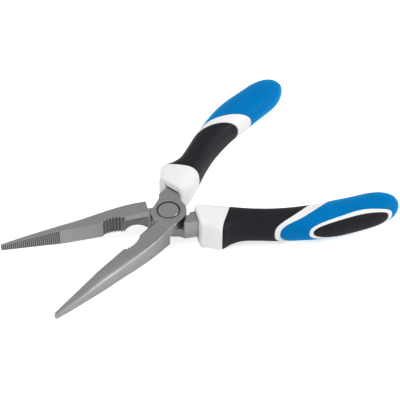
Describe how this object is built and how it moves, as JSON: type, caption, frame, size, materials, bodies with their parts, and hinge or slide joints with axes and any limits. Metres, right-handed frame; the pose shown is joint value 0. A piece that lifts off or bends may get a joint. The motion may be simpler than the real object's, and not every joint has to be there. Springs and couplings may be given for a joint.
{
  "type": "needle nose pliers",
  "caption": "Long tapered serrated jaws with a toothed pipe grip and side cutter, on a riveted lap joint with flared soft-faced handles.",
  "frame": {"origin": "pivot axis at the flat underside of the joint", "axes": "+X midway between the two handles, away from the jaws; +Z along the pivot axis, out of the top of the joint"},
  "size_m": [0.1841, 0.1186, 0.0194],
  "materials": {
    "forged_steel": "satin ground steel",
    "white_core": "hard white plastic, softly glossy",
    "black_grip": "soft black grip with a fine matt texture",
    "blue_grip": "soft blue grip with a fine satin texture"
  },
  "bodies": {
    "upper_half": {"upper_lever": "forged_steel", "pivot_rivet": "forged_steel", "upper_handle_core": "white_core", "upper_front_grip": "black_grip", "upper_rear_grip": "blue_grip", "upper_palm_inlay": "black_grip"},
    "lower_half": {"lower_lever": "forged_steel", "lower_handle_core": "white_core", "lower_front_grip": "black_grip", "lower_rear_grip": "blue_grip", "lower_palm_inlay": "black_grip"}
  },
  "joints": [
    {"name": "pivot", "type": "hinge", "parent": "upper_half", "child": "lower_half", "pos_m": [0, 0, 0.0055], "axis": [0, 0, 1], "range_deg": [-18, 36]}
  ]
}
